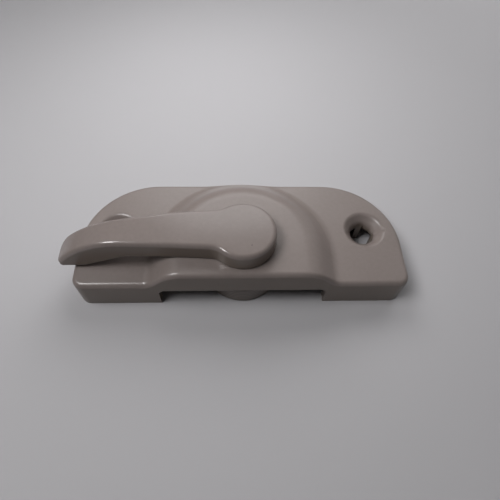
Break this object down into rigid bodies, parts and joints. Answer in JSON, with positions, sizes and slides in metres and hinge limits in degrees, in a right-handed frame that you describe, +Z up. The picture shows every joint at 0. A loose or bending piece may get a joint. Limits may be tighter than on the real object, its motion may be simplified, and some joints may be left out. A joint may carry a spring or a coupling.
{
  "type": "sash lock",
  "caption": "Low painted cast sash lock: domed hollow housing with rounded back corners, countersunk screw holes, a down-bent thumb lever and a hooked locking cam in the front notch.",
  "frame": {"origin": "Midway between the two screw holes, on the plane the lock is screwed down to.", "axes": "+X along the lock, away from the lever's tip; +Y from the notched front to the rounded back; +Z up out of the mounting plane."},
  "size_m": [0.0758, 0.0278, 0.0166],
  "materials": {
    "housing_paint": "smooth semi-gloss taupe paint, worn a little lighter along the edges",
    "lever_paint": "smooth semi-gloss taupe paint, worn a little lighter along the edges",
    "cam_paint": "smooth semi-gloss taupe paint, worn a little lighter along the edges",
    "spring_steel": "plain spring steel"
  },
  "bodies": {
    "housing": {"housing": "housing_paint", "detent_spring": "spring_steel"},
    "lever": {"lever_handle": "lever_paint", "locking_cam": "cam_paint", "spring_washer": "spring_steel", "rivet_washer": "spring_steel"}
  },
  "joints": [
    {"name": "lever_turn", "type": "hinge", "parent": "housing", "child": "lever", "pos_m": [0, -0.0057, 0.0123], "axis": [0, 0, -1], "range_deg": [0, 180], "deforming": ["detent_spring"]}
  ]
}
